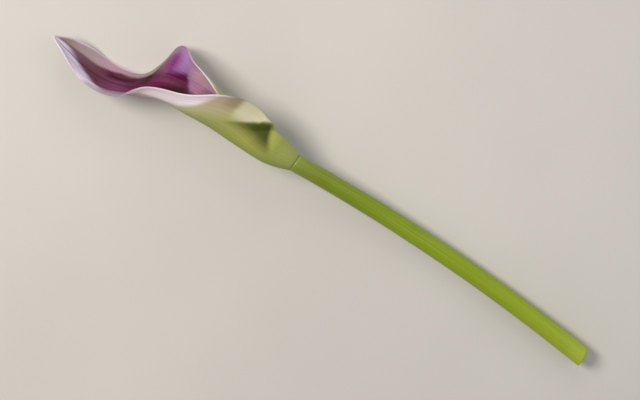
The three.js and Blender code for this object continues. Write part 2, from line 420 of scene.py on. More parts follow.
@dataclass(frozen=True)
class Skin:
    """What both faces of the spathe share: waxy, finely veined along its length.

    Streaks and threads are coarse and fine noise drawn out along the sheet, with how often each changes
    across it and along it. Feathering and fraying are how far the two push the borders of the colours,
    across the sheet and along it.
    """

    roughness: float = 0.48
    specular: float = 0.22
    veins: float = 17.0
    vein_wander: float = 1.6
    fine_veins: float = 52.0
    fine_wander: float = 2.2
    vein_depth: float = 0.05
    streaks: tuple[float, float] = (24.0, 2.4)
    threads: tuple[float, float] = (70.0, 3.0)
    clouds: float = 170.0
    grains: float = 2400.0
    feathering: tuple[float, float] = (0.16, 0.06)
    fraying: tuple[float, float] = (0.034, 0.01)

    @staticmethod
    def stripes(side: Wire, count: float, wander: Wire) -> Wire:
        """Lines along the sheet, from 0 to 1, that many to each side."""
        return 0.5 + 0.5 * (2 * math.pi * (side * count + wander)).sine()

    def start(self, name: str) -> tuple[Shader, dict[str, Wire]]:
        """Begins a face's material.

        Args:
            name: The material's name.

        Returns:
            The shader and the wires that both faces use.
        """
        s = Shader(name)
        place = s.node("ShaderNodeUVMap", {"uv_map": Attribute.SHEET.value}, {}, "UV")
        across, along, _ = s.parts(place)
        side = across * 2.0 - 1.0
        streak = s.noise(s.vector(side * self.streaks[0], along * self.streaks[1]), 1.0)
        thread = s.noise(s.vector(side * self.threads[0], along * self.threads[1], 4.0), 1.0, 2.0)
        coarse, fine = streak - 0.5, thread - 0.5
        wires = {"side": side, "along": along, "wide": abs(side), "streak": streak, "thread": thread}
        wires["edge"] = s.attribute(Attribute.EDGE.value)
        wires["right"] = side.ease(-0.04, 0.04)
        wires["cloud"] = s.noise(s.here(), self.clouds)
        wires["feather"] = coarse * self.feathering[0] + fine * self.feathering[1]
        wires["frayed"] = along + coarse * self.fraying[0] + fine * self.fraying[1]
        wires["vein"] = self.stripes(side, self.veins, coarse * self.vein_wander)
        return s, wires

    def relief(self, s: Shader, wires: dict[str, Wire]) -> Wire:
        """The fine veins and the grain of the skin.

        Args:
            s: The face's shader.
            wires: What both faces share.

        Returns:
            The normal.
        """
        wander = (wires["thread"] - 0.5) * self.fine_wander
        fine = self.stripes(wires["side"], self.fine_veins, wander)
        grain = s.noise(s.here(), self.grains, 2.0)
        height = fine * 0.45 + wires["thread"] * 0.35 + grain * 0.2
        return s.bump(height, self.vein_depth, 0.55)

    def sockets(self, s: Shader, wires: dict[str, Wire], colour: Wire) -> dict:
        """The shader's inputs for one face.

        Args:
            s: The face's shader.
            wires: What both faces share.
            colour: The face's colour.

        Returns:
            Values and wires by socket.
        """
        rough = wires["cloud"] * 0.12 + (self.roughness - 0.06)
        return {
            "Base Color": colour,
            "Roughness": rough,
            "Normal": self.relief(s, wires),
            "Specular IOR Level": self.specular,
            "Subsurface Weight": 0.08,
            "Subsurface Radius": (1.0, 0.5, 0.5),
            "Subsurface Scale": 0.8 * MM,
        }


@dataclass(frozen=True)
class InnerSkin(Skin):
    """The face inside: a dark throat, a magenta to lilac lobe, a dusky tongue and pale margins."""

    throat: str = "34000f"
    blush: str = "6c0c44"
    dusk: str = "4c0528"
    frost: str = "f0e2f4"
    # Painted shade: the pale margin greyed along the tongue's left edge, where it lies in shade.
    rim: str = "9a868f"
    # Partly painted light: a pale pink lip, made paler than its own colour where the lobe lies in shade.
    lower_lip: str = "f0ccd4"
    lobe_lip: str = "c2a2b8"
    margin: str = "e3d4e0"
    lobe_vein: str = "8a66a0"
    lobe_bloom: str = "b89cbc"
    mottle: tuple[str, str] = ("7a7a7a", "868686")

    def _tongue(self, s: Shader, w: dict[str, Wire]) -> Wire:
        """The standing tongue: dusky purple, pale along its right side and lilac-white up its left.

        Args:
            s: The face's shader.
            w: What both faces share.

        Returns:
            The colour.
        """
        along, side = w["along"], w["side"]
        colour = s.ramp(
            along,
            [
                (0.0, "5c1030"),
                (0.56, "64103c"),
                (0.64, "34040e"),
                (0.75, "7a3c68"),
                (0.84, "6c3848"),
                (0.92, "825c6c"),
                (1.0, "857862"),
            ],
        )
        dark = along.band(0.66, 0.71, 0.79, 0.84) * (side + w["feather"]).ease(0.05, 0.34)
        colour = s.mix(dark, colour, self.dusk)

        strip = s.ramp(
            along,
            [(0.6, "a5847c"), (0.72, "b08e96"), (0.79, "b98aa2"), (0.87, "bfa5ab"), (1.0, "9f9080")],
        )
        border = [(0.58, 0.9), (0.63, 0.5), (0.71, 0.6), (0.77, 0.66), (0.85, 0.46), (1.0, 0.4)]
        border = s.level(along, border)
        pale = (side + w["feather"] - border).ease(-0.06, 0.09) * along.ease(0.58, 0.62)
        colour = s.mix(pale, colour, strip)

        # Painted shade along the tongue's left edge.
        edge = (w["feather"] - side).ease(0.55, 0.75) * along.ease(0.64, 0.72)
        colour = s.mix(edge * 0.85, colour, self.rim)
        frost = along - side * 0.125 + w["feather"] * 0.35
        frost = frost.ease(0.885, 0.94) * (1.0 - (side + w["feather"]).ease(0.26, 0.42))
        return s.mix(frost, colour, self.frost)

    def _lobe(self, s: Shader, w: dict[str, Wire], colour: Wire) -> Wire:
        """The flared right side: pinkish low down, lilac at its corner and purple along its top.

        Args:
            s: The face's shader.
            w: What both faces share.
            colour: What it lies over.

        Returns:
            The colour.
        """
        along, side = w["along"], w["side"]
        lobe = s.ramp(
            along,
            [
                # Painted shade: the brownish lowest stop stands for the shadowed gap under the flap.
                (0.28, "7a5a50"),
                (0.34, "a87886"),
                (0.385, "d096b4"),
                (0.44, "c08cba"),
                (0.5, "ac7cb8"),
                (0.55, "801c78"),
                (0.585, "825068"),
                (0.63, "866068"),
            ],
        )
        lobe = s.mix(side.ease(0.7, 0.95) * along.ease(0.4, 0.46) * 0.5, lobe, self.lobe_bloom)
        # The lower lip's pale pink, partly painted light against the shade on this part of the lobe.
        turned_away = (side + w["feather"]).ease(0.42, 0.62) * (1.0 - along.ease(0.42, 0.48))
        lobe = s.mix(turned_away * 0.85, lobe, self.lower_lip)
        lobe = s.mix(w["vein"].ease(0.55, 1.0) * 0.2, lobe, self.lobe_vein)
        reach = [(0.3, 0.1), (0.415, 0.2), (0.47, 0.52), (0.53, 0.42), (0.57, 0.34), (0.6, 0.42)]
        show = (side + w["feather"] - s.level(w["frayed"], reach)).ease(-0.09, 0.12)
        return s.mix(show * (1.0 - along.ease(0.59, 0.64)), colour, lobe)

    def _throat(self, s: Shader, w: dict[str, Wire], colour: Wire) -> Wire:
        """The dark eye deep in the tube, which runs out along the veins.

        Args:
            s: The face's shader.
            w: What both faces share.
            colour: What it lies over.

        Returns:
            The colour.
        """
        layers = (
            (
                self.blush,
                [(0.4, 1.0), (0.53, 0.8), (0.6, 0.5), (0.68, 0.24), (0.76, 0.0)],
                [(0.2, 0.4), (0.36, 0.12), (0.415, 0.2), (0.47, 0.52), (0.55, 0.4), (0.62, 0.3), (0.68, 0.0)],
            ),
            (
                self.throat,
                [(0.38, 0.9), (0.5, 0.6), (0.62, 0.25), (0.68, 0.0)],
                [(0.2, 0.35), (0.36, 0.12), (0.41, 0.18), (0.45, 0.28), (0.5, 0.2), (0.56, 0.1), (0.62, 0.0)],
            ),
        )
        for layer, to_left, to_right in layers:
            far = s.level(w["frayed"], to_left)
            far = far + (s.level(w["frayed"], to_right) - far) * w["right"]
            colour = s.mix((far + w["feather"] - w["wide"]).ease(-0.1, 0.1), colour, layer)
        return colour

    def material(self) -> bpy.types.Material:
        """Makes the material, with the pale margins over the rest.

        Returns:
            The material.
        """
        s, w = self.start("spathe_inside")
        along, right = w["along"], w["right"]
        colour = self._throat(s, w, self._lobe(s, w, self._tongue(s, w)))
        left_centimetres = [(0.0, 0.06), (0.42, 0.08), (0.55, 0.16), (0.7, 0.2), (0.9, 0.16), (1.0, 0.08)]
        right_centimetres = [(0.3, 0.2), (0.4, 0.3), (0.47, 0.08), (0.53, 0.03), (0.62, 0.06), (1.0, 0.08)]
        to_left = s.level(along, left_centimetres)
        width = 10.0 * (to_left + (s.level(along, right_centimetres) - to_left) * right)
        pale = 1.0 - (w["edge"] + (w["streak"] - 0.5) * 0.8).ease(width * 0.3, width * 1.15)
        margin = s.mix(right * along.band(0.3, 0.38, 0.58, 0.66), self.margin, self.lobe_lip)
        # Painted shade: the pale left margin greyed along the tongue.
        shaded_margin = (1.0 - right) * along.band(0.6, 0.68, 0.83, 0.88)
        margin = s.mix(shaded_margin * 0.8, margin, self.rim)
        colour = s.mix(pale * 0.85, colour, margin)
        mottle = s.ramp(w["cloud"], [(0.3, self.mottle[0]), (0.7, self.mottle[1])])
        colour = s.mix(0.16, colour, mottle, Blend.OVERLAY)
        return s.surface(self.sockets(s, w, colour))


@dataclass(frozen=True)
class OuterSkin(Skin):
    """The face outside: yellow-green up the tube, beige at the flap and pinkish white by the lips."""

    margin: str = "fbeaf0"
    green: str = "8a9c3e"
    bloom: str = "c0a0ac"
    flap: str = "bca88e"
    # Painted shade: a darker band in the curl's crease.
    fold_shade: str = "94826c"
    cream: str = "d3cfae"
    # Painted shade: a dark olive for the shadow in the hollow under the flap.
    hollow: str = "3a4400"

    def _flap(self, s: Shader, w: dict[str, Wire], colour: Wire) -> Wire:
        """The lapping margin's curl: beige above, a darker fold of painted shade, cream, then painted shade
        below it, a deep olive for the shadow in the hollow under the curl.

        Args:
            s: The face's shader.
            w: What both faces share.
            colour: What it lies over.

        Returns:
            The colour.
        """
        along = w["along"] + w["feather"] * 0.04
        side = w["feather"] * 0.25 - w["side"]
        above = (w["along"] - w["side"] * FLAP_SLANT + w["feather"] * 0.03).ease(0.478, 0.502)
        # Painted shade under the flap, with the cream above it.
        shade_below = (along + w["side"] * 0.14).ease(-0.016, 0.014) * (1.0 - above)
        for share, patch, code in (
            (0.9, along.band(0.27, 0.33, 0.38, 0.44) * side.ease(0.6, 0.8), self.flap),
            # Painted shade: the darker band in the curl's crease.
            (0.7, along.band(0.26, 0.29, 0.31, 0.35) * side.ease(0.72, 0.88), self.fold_shade),
            (0.92, above * (1.0 - along.ease(0.268, 0.298)) * side.ease(0.62, 0.8), self.cream),
            # Painted shade: the dark olive in the hollow under the flap.
            (0.94, shade_below * side.ease(0.5, 0.8), self.hollow),
        ):
            colour = s.mix(patch * share, colour, code)
        return colour

    def material(self) -> bpy.types.Material:
        """Makes the material, with the pale margins over the rest.

        Returns:
            The material.
        """
        s, w = self.start("spathe_outside")
        along = w["along"]
        colour = s.ramp(
            along,
            [
                (0.0, "acb662"),
                (0.1, "abae58"),
                (0.22, "aeaa56"),
                (0.34, "b4b078"),
                (0.46, "beb696"),
                (0.58, "c8b0ac"),
                (0.74, "b08ea2"),
                (0.9, "a08096"),
                (1.0, "8a7a62"),
            ],
        )
        back = (1.0 - (w["wide"] + w["feather"]).ease(0.3, 0.62)) * (1.0 - along.ease(0.4, 0.62))
        veins = w["vein"].ease(0.3, 1.0) * (1.0 - along.ease(0.1, 0.6))
        keel = (1.0 - w["wide"].ease(0.02, 0.16)) * along.ease(0.4, 0.6)
        for share, patch in ((0.7, back), (0.22, veins), (0.45, keel)):
            colour = s.mix(patch * share, colour, self.green)
        flush = (w["streak"] * 0.8 + w["cloud"] * 0.4).ease(0.45, 0.85)
        colour = s.mix(flush * along.ease(0.3, 0.6) * 0.3, colour, self.bloom)
        colour = self._flap(s, w, colour)

        border = [(0.34, 1.0), (0.4, 0.7), (0.46, 0.56), (0.58, 0.56), (0.7, 0.8), (0.9, 0.92)]
        near = 1.0 - s.level(along, border) + w["feather"] * 0.6
        pale = (w["wide"] + near).ease(0.92, 1.12) * along.ease(0.34, 0.42)
        colour = s.mix(pale * 0.95, colour, self.margin)
        rim = 1.0 - (w["edge"] + (w["streak"] - 0.5) * 0.5).ease(0.3, 1.1)
        colour = s.mix(rim * along.ease(0.3, 0.4) * 0.8, colour, self.margin)
        return s.surface(self.sockets(s, w, colour))


@dataclass(frozen=True)
class StemSkin:
    """Smooth fleshy green, faintly lined along its length.

    Its colours run up from the cut over a length in millimetres. Lines and thin lines are noise drawn
    out along it, with how often each changes across the stem and along it.
    """

    roughness: float = 0.36
    colour_length: float = 135.0
    lines: tuple[float, float] = (13.0, 0.02)
    thin_lines: tuple[float, float] = (42.0, 0.05)
    line_colour: str = "b0c040"
    thin_colour: str = "627408"
    cloud_colour: str = "6f8508"

    def material(self) -> bpy.types.Material:
        """Makes the material.

        Returns:
            The material.
        """
        s = Shader("stem_skin")
        x, y, z = s.parts(s.attribute(Attribute.GRAIN.value, "Vector"))
        (across, up), (thin_across, thin_up) = self.lines, self.thin_lines
        line = s.noise(s.vector(x * across, y * across, z * up), 1.0)
        thin = s.noise(s.vector(x * thin_across, y * thin_across, z * thin_up), 1.0, 2.0)
        cloud = s.noise(s.here(), 90.0, 4.0)
        # The stem's own green, paler low down; its darker, greyer upper part is painted shade.
        colour = s.ramp(
            z * (1.0 / self.colour_length),
            [
                (0.0, "aaba3c"),
                (0.1, "9cae20"),
                (0.4, "8ba00e"),
                (0.7, "7f9410"),
                (0.88, "78871f"),
                (1.0, "939f48"),
            ],
        )
        for share, code in (
            (line.ease(0.45, 0.7) * 0.4, self.line_colour),
            (thin.ease(0.5, 0.75) * 0.3, self.thin_colour),
            (cloud.ease(0.5, 0.75) * 0.25, self.cloud_colour),
        ):
            colour = s.mix(share, colour, code)
        height = line * 0.5 + thin * 0.35 + s.noise(s.here(), 2600.0, 2.0) * 0.15
        sockets = {
            "Base Color": colour,
            "Roughness": cloud * 0.14 + (self.roughness - 0.07),
            "Normal": s.bump(height, 0.06, 0.6),
            "Specular IOR Level": 0.34,
            "Coat Weight": 0.06,
            "Coat Roughness": 0.25,
        }
        return s.surface(sockets)


@dataclass(frozen=True)
class CutFace:
    """The wet cut across the stem: pale pith with darker strands and a green rim."""

    roughness: float = 0.3
    strand_colour: str = "8c9c50"

    def material(self) -> bpy.types.Material:
        """Makes the material.

        Returns:
            The material.
        """
        s = Shader("stem_cut")
        x, y, _ = s.parts(s.attribute(Attribute.GRAIN.value, "Vector"))
        out = (x * x + y * y).ease(0.0, 1.0)
        colour = s.ramp(out, [(0.0, "d3dbab"), (0.7, "c3cf92"), (0.93, "a9bc66"), (1.0, "7f9a34")])
        cells = {"Vector": s.here(), "Scale": 850.0, "Randomness": 0.8}
        strand = s.node("ShaderNodeTexVoronoi", {}, cells, "Distance")
        colour = s.mix((1.0 - strand.ease(0.12, 0.3)) * 0.55, colour, self.strand_colour)
        grain = s.noise(s.here(), 4200.0, 2.0)
        sockets = {
            "Base Color": colour,
            "Roughness": grain * 0.2 + self.roughness,
            "Normal": s.bump(grain * 0.6 + strand * 0.4, 0.08, 0.6),
            "Specular IOR Level": 0.5,
        }
        return s.surface(sockets)


@dataclass(frozen=True)
class FloretSkin:
    """Close-set tiny flowers: yellow on their crowns and olive between them."""

    roughness: float = 0.62
    dust_colour: str = "efdc8e"

    def material(self) -> bpy.types.Material:
        """Makes the material.

        Returns:
            The material.
        """
        s = Shader("spadix_florets")
        relief = s.attribute(Attribute.RELIEF.value)
        _, _, z = s.parts(s.attribute(Attribute.GRAIN.value, "Vector"))
        upper = s.ramp(relief, [(0.1, "7a6420"), (0.45, "b8922e"), (0.9, "e3c55a")])
        lower = s.ramp(relief, [(0.1, "5f6a2c"), (0.5, "98a050"), (0.9, "cdd08a")])
        colour = s.mix(z.ease(0.26, 0.4), lower, upper)
        dust = s.noise(s.here(), 3200.0)
        colour = s.mix(dust.ease(0.55, 0.7) * 0.5, colour, self.dust_colour)
        sockets = {
            "Base Color": colour,
            "Roughness": dust * 0.2 + (self.roughness - 0.1),
            "Normal": s.bump(dust, 0.08, 0.7),
            "Specular IOR Level": 0.35,
        }
        return s.surface(sockets)


@dataclass(frozen=True)
class Tabletop:
    """A plain pale matt table."""

    light: str = "dcd7d0"
    dark: str = "d6d1ca"

    def material(self) -> bpy.types.Material:
        """Makes the material.

        Returns:
            The material.
        """
        s = Shader("table")
        cloud = s.noise(s.here(), 9.0)
        colour = s.mix(cloud.ease(0.3, 0.7), self.light, self.dark)
        grain = s.noise(s.here(), 700.0)
        sockets = {
            "Base Color": colour,
            "Roughness": grain * 0.1 + 0.6,
            "Normal": s.bump(grain, 0.05, 0.25),
            "Specular IOR Level": 0.3,
        }
        return s.surface(sockets)


def added(name: str, data: Any) -> bpy.types.Object:
    """Adds an object to the scene.

    Args:
        name: What it is called.
        data: Its mesh, light or camera.

    Returns:
        The object.
    """
    made = bpy.data.objects.new(name, data)
    bpy.context.scene.collection.objects.link(made)
    return made


def finished(name: str, made: bmesh.types.BMesh) -> bpy.types.Object:
    """Turns a mesh that was being made into an object of the scene, and frees it.

    Args:
        name: What the object and its mesh are called.
        made: The mesh.

    Returns:
        The object.
    """
    mesh = bpy.data.meshes.new(name)
    made.to_mesh(mesh)
    made.free()
    return added(name, mesh)


def keep(mesh_name: str, node: str, made: bmesh.types.BMesh, rest: Rest) -> bpy.types.Object:
    """Turns a grown piece into an object that lies with the rest and stands for its solid.

    Args:
        mesh_name: The piece's name.
        node: The solid that it stands for.
        made: The mesh in millimetres as it grows; it is freed.
        rest: How the flower lies.

    Returns:
        The object.
    """
    bmesh.ops.transform(made, matrix=rest.matrix(), verts=made.verts)
    for face in made.faces:
        face.smooth = True
    piece = finished(mesh_name, made)
    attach(piece, "root")
    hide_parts(node)
    return piece


def turned(outline: list[tuple[float, float]], steps: int) -> bmesh.types.BMesh:
    """Turns an outline once round z into a closed body.

    Args:
        outline: Radius and height of each point, from the foot's middle to the top's middle.
        steps: How many facets it has round.

    Returns:
        The mesh.
    """
    made = bmesh.new()
    chain = [made.verts.new((radius, 0.0, height)) for radius, height in outline]
    edges = [made.edges.new(pair) for pair in zip(chain, chain[1:])]
    bmesh.ops.spin(
        made,
        geom=chain + edges,
        cent=(0.0, 0.0, 0.0),
        axis=(0.0, 0.0, 1.0),
        angle=2 * math.pi,
        steps=steps,
        use_merge=True,
    )
    bmesh.ops.remove_doubles(made, verts=made.verts, dist=1e-5)
    bmesh.ops.recalc_face_normals(made, faces=made.faces)
    return made


@dataclass(frozen=True)
class HalfSheet:
    """One side of the spathe, from the midrib to its margin.

    Its curves run over shares of the midrib: the degrees that it wraps round the tube, the degrees that
    its margin rolls back, the share of its width where that is, and the degrees that its rows slope.
    """

    sign: float
    wrap: Pairs
    roll: Pairs
    crest: Pairs
    slope: Pairs
    wave_phase: float


LEFT = HalfSheet(
    sign=-1.0,
    wrap=(
        (0.0, 190.0), (0.1, 182.0), (0.15, 181.0), (0.19, 186.0), (0.225, 195.0), (0.275, 208.0),
        (0.34, 203.0), (0.415, 171.0), (0.5, 135.0), (0.575, 112.0), (0.67, 61.0), (0.765, 54.0),
        (0.86, 50.0), (0.925, 43.0), (0.97, 50.0), (1.0, 60.0),
    ),
    roll=(
        (0.0, 0.0), (0.15, 2.0), (0.19, 9.0), (0.235, 23.0), (0.305, 33.0), (0.37, 45.0),
        (0.455, 57.0), (0.575, 62.0), (0.67, 68.0), (0.765, 57.0), (1.0, 0.0),
    ),
    crest=(
        (0.0, 0.88), (0.245, 0.89), (0.34, 0.86), (0.48, 0.86), (0.625, 0.84), (1.0, 0.8),
    ),
    slope=(
        (0.0, 24.0), (0.04, 19.0), (0.08, 12.0), (0.14, 10.0), (0.2, 18.0), (0.245, 26.0),
        (0.32, 26.0), (0.415, 26.0), (0.5, 30.0), (0.575, 26.0), (0.67, 15.0), (0.765, -2.0),
        (0.86, 0.0), (1.0, 0.0),
    ),
    wave_phase=0.2,
)
RIGHT = HalfSheet(
    sign=1.0,
    wrap=(
        (0.0, 196.0), (0.08, 206.0), (0.135, 212.0), (0.21, 216.0), (0.285, 208.0), (0.36, 192.0),
        (0.455, 176.0), (0.49, 170.0), (0.53, 160.0), (0.555, 141.0), (0.585, 98.0), (0.615, 61.0),
        (0.65, 46.0), (0.715, 46.0), (0.795, 54.0), (0.86, 59.0), (0.925, 60.0), (0.97, 69.0),
        (1.0, 60.0),
    ),
    roll=(
        (0.0, 0.0), (0.295, 5.0), (0.395, 14.0), (0.455, 37.0), (0.49, 49.0), (0.53, 85.0),
        (0.575, 90.0), (0.625, 53.0), (0.68, 23.0), (0.765, 20.0), (1.0, 0.0),
    ),
    crest=(
        (0.0, 0.7), (0.415, 0.66), (0.5, 0.58), (0.555, 0.54), (0.625, 0.62), (1.0, 0.75),
    ),
    slope=(
        (0.0, 24.0), (0.04, 19.0), (0.08, 12.0), (0.14, 10.0), (0.295, 14.0), (0.395, 20.0),
        (0.49, 11.0), (0.555, 25.0), (0.595, 39.0), (0.65, 35.0), (0.715, 27.0), (0.795, 20.0),
        (0.87, 9.0), (1.0, 0.0),
    ),
    wave_phase=0.65,
)


@dataclass
class Spathe:
    """The one sheet that is tube, tongue and flared lobe, its left side over its right one.

    The flap at the lapping margin and the dip beneath it each have pairs of where they start and where
    they are whole: past their slanting edge, along the midrib, and across the left side, where 0 is the
    midrib and -1 the margin. The unevenness is a few random waves, so many to the sheet. It is calm by
    the foot and the midrib, and the ribs are by the tip and the margins.
    """

    length: float = 104.0
    tube_radius: Pairs = (
        (0.0, 2.9), (0.02, 3.75), (0.05, 4.8), (0.08, 5.6), (0.11, 6.1), (0.17, 6.4), (0.295, 6.3),
        (0.415, 7.2), (0.5, 7.5), (0.575, 8.4), (0.67, 9.3), (0.765, 9.3), (0.86, 7.9),
        (0.925, 5.5), (0.97, 2.4), (1.0, 0.14),
    )
    midrib_lean: Pairs = (
        (0.0, 24.0), (0.04, 19.0), (0.08, 11.0), (0.12, 3.0), (0.21, 1.0), (0.295, 1.0),
        (0.415, 9.0), (0.5, 19.0), (0.575, 41.0), (0.67, 38.0), (0.765, 13.0), (0.86, -13.0),
        (0.935, -17.0), (1.0, -26.0),
    )
    layer: Pairs = (
        (0.0, 0.5), (0.05, 0.65), (0.15, 0.9), (1.0, 0.9),
    )
    thickness: Pairs = (
        (0.0, 0.7), (0.05, 0.9), (0.15, 1.0), (0.6, 1.0), (1.0, 0.9),
    )
    margin_thinning: float = 0.4
    margin_round: float = 0.6
    margin_least: float = 0.35
    tip_round: float = 1.6
    tip_least: float = 0.2
    roll_span: float = 0.42
    wave: tuple[float, float, float, float] = (5.0, 7.0, 0.4, 0.53)
    overlap: tuple[float, float] = (100.0, 180.0)
    ribs: int = 12
    rib_relief: float = 0.05
    unevenness: float = 0.3
    uneven_waves: int = 9
    waves_across: tuple[float, float] = (0.6, 2.6)
    waves_along: tuple[float, float] = (1.5, 6.0)
    calm_foot: tuple[float, float] = (0.3, 0.5)
    calm_midrib: float = 0.4
    calm_tip: tuple[float, float] = (1.0, 0.75)
    calm_margin: float = 3.0
    flap_lift: float = 2.0
    flap_edge: tuple[float, float] = (0.497, 0.537)
    flap_along: tuple[float, float] = (0.41, 0.23)
    flap_across: tuple[float, float] = (-0.58, -0.88)
    dip_depth: float = 0.4
    dip_edge: tuple[float, float] = (0.52, 0.475)
    dip_along: tuple[float, float] = (0.12, 0.155)
    dip_across: tuple[float, float] = (-0.6, -0.85)
    seed: int = 11
    rows: int = 216
    half: int = 96
    midrib_steps: int = 600
    row_steps: int = 8
    row_crowding: float = 0.35

    def _rows(self) -> np.ndarray:
        """Each row's share of the midrib, closer together round the lobe."""
        t = np.linspace(0.0, 1.0, self.rows + 1)
        return t + self.row_crowding * np.sin(2 * np.pi * t) / (2 * np.pi)

    def _midrib(self, v: np.ndarray) -> tuple[np.ndarray, np.ndarray]:
        """Walks the midrib up from the foot.

        Args:
            v: Shares of its length.

        Returns:
            How far back and how high it is at each.
        """
        count = self.midrib_steps
        lean = np.radians(Curve(self.midrib_lean)((np.arange(count) + 0.5) / count))
        step = self.length / count
        back = float(Curve(self.tube_radius)(0.0)) + np.concatenate([[0.0], np.cumsum(np.sin(lean)) * step])
        high = np.concatenate([[0.0], np.cumsum(np.cos(lean)) * step])
        share = np.linspace(0.0, 1.0, count + 1)
        return np.interp(v, share, back), np.interp(v, share, high)

    def _half(self, side: HalfSheet, v: np.ndarray) -> tuple[np.ndarray, np.ndarray]:
        """Walks every row of one side from the midrib to the margin.

        Args:
            side: The side.
            v: Each row's share of the midrib.

        Returns:
            The points by row and column, and each row's width.
        """
        back, high = self._midrib(v)
        angle, count, low, up = self.wave
        wrap = np.radians(Curve(side.wrap)(v))
        waving = angle * rise(v, low, up) * np.sin(2 * np.pi * (count * v + side.wave_phase))
        roll = np.radians(Curve(side.roll)(v) + waving)
        fall = np.radians(Curve(self.midrib_lean)(v) - Curve(side.slope)(v))
        start, end = np.radians(self.overlap)
        shift = side.sign * Curve(self.layer)(v) * rise(wrap, start, end)
        radius = Curve(self.tube_radius)(v) - shift
        steps = self.half * self.row_steps
        w = (np.arange(steps) + 0.5) / steps
        ramp = smooth((w - Curve(side.crest)(v)[:, None]) / self.roll_span + 0.5)
        heading = wrap[:, None] * w - roll[:, None] * ramp
        ds = (radius * wrap / steps)[:, None]
        every = slice(self.row_steps - 1, None, self.row_steps)
        x = (np.cumsum(np.cos(heading), 1) * ds)[:, every]
        y = (np.cumsum(np.sin(heading), 1) * ds)[:, every]
        points = np.stack(
            [
                side.sign * x,
                back[:, None] - np.cos(fall)[:, None] * y,
                high[:, None] + np.sin(fall)[:, None] * y,
            ],
            -1,
        )
        return points, radius * wrap

    def _surface(self) -> tuple[np.ndarray, np.ndarray, np.ndarray]:
        """The middle of the sheet with its ribs and unevenness.

        Returns:
            Points by row and column, distance from the margin, and share of the midrib.
        """
        v = self._rows()
        back, high = self._midrib(v)
        left, left_width = self._half(LEFT, v)
        right, right_width = self._half(RIGHT, v)
        middle = np.stack([np.zeros_like(v), back, high], -1)[:, None]
        points = np.concatenate([left[:, ::-1], middle, right], 1)
        s = np.linspace(-1.0, 1.0, 2 * self.half + 1)[None]
        width = np.where(s < 0, left_width[:, None], right_width[:, None])
        edge = (1.0 - abs(s)) * width
        along = v[:, None] + 0.0 * s

        rng = np.random.default_rng(self.seed)
        uneven = np.zeros_like(edge)
        for _ in range(self.uneven_waves):
            across_count, along_count = rng.uniform(*self.waves_across), rng.uniform(*self.waves_along)
            phase = rng.uniform(0.0, 2 * np.pi)
            sway = rng.choice((-1.0, 1.0))
            wave = np.sin(2 * np.pi * (across_count * s * sway + along_count * along) + phase)
            uneven += wave / self.uneven_waves
        ease_up = rise(along, *self.calm_foot) * rise(abs(s), 0.0, self.calm_midrib)
        rib = 0.5 + 0.5 * np.cos(2 * np.pi * self.ribs * s)
        rib = rib * rise(along, *self.calm_tip) * rise(edge, 0.0, self.calm_margin)
        move = self.unevenness * 2.0 * uneven * ease_up + self.rib_relief * (rib - 0.5)
        under = along - FLAP_SLANT * s
        flap = rise(under, *self.flap_edge) * rise(along, *self.flap_along) * rise(s, *self.flap_across)
        dip = rise(under, *self.dip_edge) * rise(along, *self.dip_along) * rise(s, *self.dip_across)
        move = move - self.flap_lift * flap + self.dip_depth * dip
        across = np.gradient(points, axis=1)
        up = np.gradient(points, axis=0)
        normal = np.cross(across, up)
        normal /= np.linalg.norm(normal, axis=-1, keepdims=True)
        return points + normal * move[..., None], edge, along

    def build(self, rest: Rest) -> bpy.types.Object:
        """Makes the spathe.

        Args:
            rest: How the flower lies.

        Returns:
            The piece.
        """
        points, edge, along = self._surface()
        made = bmesh.new()
        made.loops.layers.uv.new(Attribute.SHEET.value)
        margin = made.verts.layers.float.new(Attribute.EDGE.value)
        flesh = made.verts.layers.deform.verify()
        bmesh.ops.create_grid(
            made, x_segments=2 * self.half, y_segments=self.rows, size=0.5, calc_uvs=True
        )
        full = max(p[1] for p in self.thickness)
        thick = Curve(self.thickness)(along[:, 0]) / full
        for vert in made.verts:
            i = round((vert.co.x + 0.5) * 2 * self.half)
            j = round((vert.co.y + 0.5) * self.rows)
            wide = abs(i / self.half - 1.0)
            to_tip = (1.0 - along[j, i]) * self.length
            rounding = rounded(edge[j, i] / self.margin_round, self.margin_least)
            rounding *= rounded(to_tip / self.tip_round, self.tip_least)
            vert[margin] = edge[j, i]
            vert[flesh][0] = thick[j] * (1.0 - self.margin_thinning * wide**3) * rounding
            vert.co = points[j, i]
        piece = keep("spathe_sheet", "spathe", made, rest)
        piece.vertex_groups.new(name="flesh")
        piece.data.materials.append(InnerSkin().material())
        piece.data.materials.append(OuterSkin().material())
        wall = piece.modifiers.new("wall", "SOLIDIFY")
        wall.thickness = full * MM
        wall.offset = 0.0
        wall.vertex_group = "flesh"
        wall.material_offset = 1
        wall.material_offset_rim = 0
        return piece


